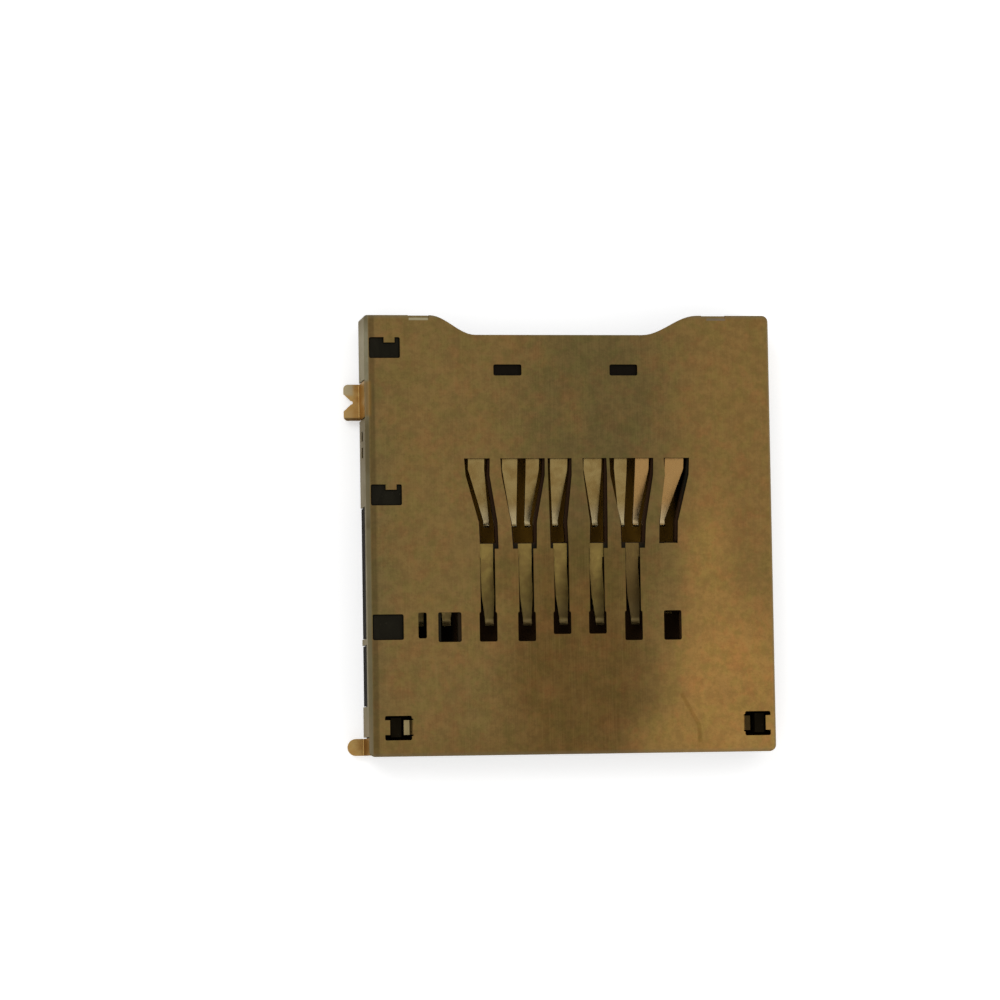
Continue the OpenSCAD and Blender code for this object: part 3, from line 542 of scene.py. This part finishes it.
def foot_material():
    """Plated sheet of the feet: orange gold, greyer on the front prong of the fork, with painted shade at the
    fork's rear edge and on the strips that run up the wall."""
    s = Shade("foot_plating")
    x, y, _ = s.split(s.mm)
    cloud = s.noise(1.3, detail=4.0, distortion=0.4)
    grain = s.noise(11.0, detail=3.0)
    streak = s.noise(5.0, detail=3.0, place=s.stretched(FOOT_STREAK_RUN))
    prongs = s.ramp(x, *PRONG_X)
    fork = s.ramp(y, *FORK_FROM_Y)
    level = s.math("ABSOLUTE", s.facing_up())
    upright = s.times(s.ramp(level, *UPRIGHT_LEVEL), s.band(x, *UPRIGHT_X))
    colour = s.mix(s.ramp(cloud, 0.32, 0.68), FOOT_DEEP, FOOT_PALE)
    colour = s.paint(colour, FRONT_PRONG, prongs, s.ramp(y, *FRONT_PRONG_Y), share=0.85)
    colour = s.paint(colour, REAR_PRONG, prongs, s.ramp(y, *REAR_PRONG_Y), fork, share=0.6)
    # Painted shade at the fork's rear edge
    colour = s.paint(colour, FORK_REAR_EDGE_SHADE, s.band(y, *FORK_EDGE_Y), s.ramp(x, *LEFT_SIDE_X), share=0.85)
    # Painted shade on the strips that run up the wall
    colour = s.paint(colour, FORK_UPRIGHT_SHADE, upright, fork, share=0.85)
    colour = s.paint(colour, ROUND_UPRIGHT_SHADE, upright, s.ramp(y, *ROUND_FROM_Y), share=0.9)
    colour = s.paint(colour, FOOT_STREAK, s.ramp(streak, 0.5, 0.72), share=0.2)
    return s.set(Base_Color=colour, Metallic=1.0, Roughness=s.uneven(cloud, 0.3, 0.42),
                 Specular_Tint=FOOT_SHEEN, Normal=s.bump(grain, depth=0.002, strength=0.15))


# Springs and pin

DIE_LINE_RUN = (1, 0.15, 1)


def wire_material(name, pale, deep):
    """Drawn spring wire with lengthwise die lines."""
    s = Shade(name)
    cloud = s.noise(2.0, detail=3.0)
    lines = s.noise(30.0, detail=2.0, place=s.stretched(DIE_LINE_RUN))
    return s.set(Base_Color=s.mix(s.ramp(cloud, 0.35, 0.65), pale, deep), Metallic=1.0,
                 Roughness=s.uneven(lines, 0.2, 0.34), Normal=s.bump(lines, depth=0.002, strength=0.4))


# Finish of the carried-over pieces

EDGE_SEGMENTS = 2
EDGE_ANGLE = math.radians(35)
SHELL_EDGE = 0.04
MOULDING_EDGE = 0.02
CONTACT_EDGE = 0.012
LEAF_EDGE = 0.01
FOOT_EDGE = 0.02

MAIN_ROW = [f"contact_{n}" for n in range(1, 10)]
FAST_ROW = [f"contact_{n}" for n in range(10, 18)]
FEET = ["write_protect_leaf", "write_protect_contact", "card_detect_leaf", "card_detect_contact",
        "solder_tab_front_right", "solder_tab_rear_right"]


def dress(names, material, edge=0.0):
    """Gives nodes a finish and, where edge is given, a small radius in millimetres on their sharp edges."""
    for name in names:
        piece = nodes[name]
        piece.data.materials.clear()
        piece.data.materials.append(material)
        if edge:
            soft = piece.modifiers.new("edge", "BEVEL")
            soft.width = edge * MM
            soft.segments = EDGE_SEGMENTS
            soft.limit_method = "ANGLE"
            soft.angle_limit = EDGE_ANGLE
            soft.harden_normals = False


def dress_mouldings():
    # The warm tones given to the base and the block are painted light bounced from the plated beams
    base = moulding_material("base_moulding", linear(13, 9, 3), base_rough=0.65, shine=0.02,
                             warm=linear(120, 86, 26))
    block = moulding_material("block_moulding", linear(18, 16, 9), base_rough=0.55, shine=0.06,
                              warm=linear(42, 24, 11))
    slider = moulding_material("slider_moulding", linear(22, 22, 23), base_rough=0.42)
    for name, material in (("base_housing", base), ("contact_block", block), ("slider", slider)):
        dress([name], material, MOULDING_EDGE)


def dress_contacts():
    # Both rows take a painted highlight at their tips and a painted reflection on the strips beyond the side
    # X, lighter on the fast row and darker on the main row
    fast = plated_material("fast_plating", pale=linear(136, 116, 72), deep=linear(120, 97, 55), tail=TINNED,
                           tips=(0.35, linear(238, 224, 182)), side=(4.2, linear(158, 121, 74)))
    common = plated_material("main_plating", pale=linear(128, 108, 54), deep=linear(108, 87, 42), tail=TINNED,
                             tips=(-5.9, linear(150, 130, 84)), side=(3.4, linear(84, 64, 30)),
                             rough=(0.4, 0.55), metal=0.8)
    dress(FAST_ROW, fast, CONTACT_EDGE)
    dress(MAIN_ROW, common, CONTACT_EDGE)


def dress_mechanism():
    dress(["cam_pin"], wire_material("pin_wire", pale=linear(190, 190, 186), deep=linear(150, 150, 148)))
    leaf = plated_material("lock_leaf", pale=linear(205, 198, 176), deep=linear(160, 150, 128))
    dress(["card_lock_spring"], leaf, LEAF_EDGE)


# Eject spring

SPRING_TURNS = 16
WIRE_R = 0.08 * MM
WIRE_SIDES = 12
STEPS_PER_TURN = 28
CLOSED_PITCH = 0.25


def helix_points(centre, mean_r, y_low, y_high):
    """Centre line of a coil along Y with a closed turn at each end."""
    count = SPRING_TURNS * STEPS_PER_TURN
    closed = 1 / SPRING_TURNS
    open_pitch = (1 - 2 * CLOSED_PITCH * closed) / (1 - 2 * closed)
    points = []
    for i in range(count + 1):
        u = i / count
        if u < closed:
            rise = u * CLOSED_PITCH
        elif u > 1 - closed:
            rise = 1 - (1 - u) * CLOSED_PITCH
        else:
            rise = closed * CLOSED_PITCH + (u - closed) * open_pitch
        angle = math.tau * i / STEPS_PER_TURN
        points.append(Vector((centre.x + mean_r * math.cos(angle), y_low + (y_high - y_low) * rise,
                              centre.z + mean_r * math.sin(angle))))
    return points


def coil_mesh(name, points, radius, sides):
    """A closed round wire along the line of a coil whose axis is Y."""
    verts, faces = [], []
    last = len(points) - 1
    for i, point in enumerate(points):
        along = (points[min(i + 1, last)] - points[max(i - 1, 0)]).normalized()
        side = along.cross(Vector((0, 1, 0))).normalized()
        up = side.cross(along).normalized()
        for k in range(sides):
            turn = math.tau * k / sides
            verts.append(point + radius * (math.cos(turn) * side + math.sin(turn) * up))
    for i in range(last):
        for k in range(sides):
            n = (k + 1) % sides
            faces.append((i * sides + k, i * sides + n, (i + 1) * sides + n, (i + 1) * sides + k))
    faces.append(tuple(range(sides - 1, -1, -1)))
    faces.append(tuple(range(last * sides, (last + 1) * sides)))
    mesh = bpy.data.meshes.new(name)
    mesh.from_pydata([tuple(v) for v in verts], [], faces)
    mesh.update()
    for polygon in mesh.polygons:
        polygon.use_smooth = True
    return mesh


def make_spring():
    """The coil as a wire, in place of the plain coil of the CAD."""
    centre = (spring_low + spring_high) / 2
    mean_r = (spring_high.x - spring_low.x) / 2 - WIRE_R
    points = helix_points(centre, mean_r, spring_low.y + WIRE_R, spring_high.y - WIRE_R)
    coil = bpy.data.objects.new("eject_coil", coil_mesh("eject_coil", points, WIRE_R, WIRE_SIDES))
    wire = wire_material("spring_wire", pale=linear(196, 196, 192), deep=linear(150, 150, 148))
    coil.data.materials.append(wire)
    bpy.context.scene.collection.objects.link(coil)
    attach(coil, "socket")
    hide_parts("eject_spring")
    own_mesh(coil)


# Stage: sizes and places in metres

WORLD_LEVEL = 0.7
FLOOR_GLOW = 0.48
FLOOR_HALF = 0.6
FLOOR_GAP = 0.01 * MM
FLOOR_TONE = (0.8, 0.8, 0.8, 1)
WHITE = (1, 1, 1, 1)

# Name, place, width and height, power in watts and colour of each lamp
LAMPS = (
    ("key", (-0.25, 0.22, 0.5), (0.25, 0.25), 0.7, (1, 1, 1)),
    ("fill", (0.35, -0.2, 0.35), (0.3, 0.2), 0.3, (1.0, 0.97, 0.92)),
)


def make_floor():
    """A pale floor that shows white to the camera and to metal, and keeps the shadow."""
    mesh = bpy.data.meshes.new("floor")
    level = cad_low[2] - FLOOR_GAP
    corners = ((-1, -1), (1, -1), (1, 1), (-1, 1))
    mesh.from_pydata([(x * FLOOR_HALF, y * FLOOR_HALF, level) for x, y in corners], [], [(0, 1, 2, 3)])
    floor = bpy.data.objects.new("floor", mesh)
    bpy.context.scene.collection.objects.link(floor)
    s = Shade("pale_floor")
    s.tree.nodes.remove(s.surface)
    diffuse = s.node("ShaderNodeBsdfDiffuse")
    diffuse.inputs["Color"].default_value = FLOOR_TONE
    glow = s.node("ShaderNodeEmission")
    glow.inputs["Color"].default_value = WHITE
    s.link(s.math("MULTIPLY", s.seen(), FLOOR_GLOW), glow.inputs["Strength"])
    both = s.node("ShaderNodeAddShader")
    s.link(diffuse.outputs[0], both.inputs[0])
    s.link(glow.outputs[0], both.inputs[1])
    s.link(both.outputs[0], s.output.inputs["Surface"])
    mesh.materials.append(s.material)


def make_world():
    """A soft room: white where the camera or a reflection sees it, and a little darker as a light."""
    world = bpy.data.worlds.new("soft_room")
    world.use_nodes = True
    bpy.context.scene.world = world
    room = NodeTree(world.node_tree)
    back = world.node_tree.nodes["Background"]
    back.inputs["Color"].default_value = WHITE
    room.link(room.math("MULTIPLY_ADD", room.seen(), 1.0 - WORLD_LEVEL, WORLD_LEVEL), back.inputs["Strength"])


def make_lamp(name, place, size, power, colour):
    """A soft lamp that looks at the middle of the object."""
    data = bpy.data.lights.new(name, "AREA")
    data.shape = "RECTANGLE"
    data.size, data.size_y = size
    data.energy = power
    data.color = colour
    light = bpy.data.objects.new(name, data)
    light.location = place
    light.rotation_euler = (-Vector(place)).to_track_quat("-Z", "Y").to_euler()
    bpy.context.scene.collection.objects.link(light)


def main():
    make_camera()
    make_floor()
    make_world()
    for lamp in LAMPS:
        make_lamp(*lamp)
    dress(["shell"], shell_material(), SHELL_EDGE)
    dress_mouldings()
    dress_contacts()
    dress(FEET, foot_material(), FOOT_EDGE)
    dress_mechanism()
    make_spring()
    bpy.context.scene.view_settings.view_transform = "Standard"


main()
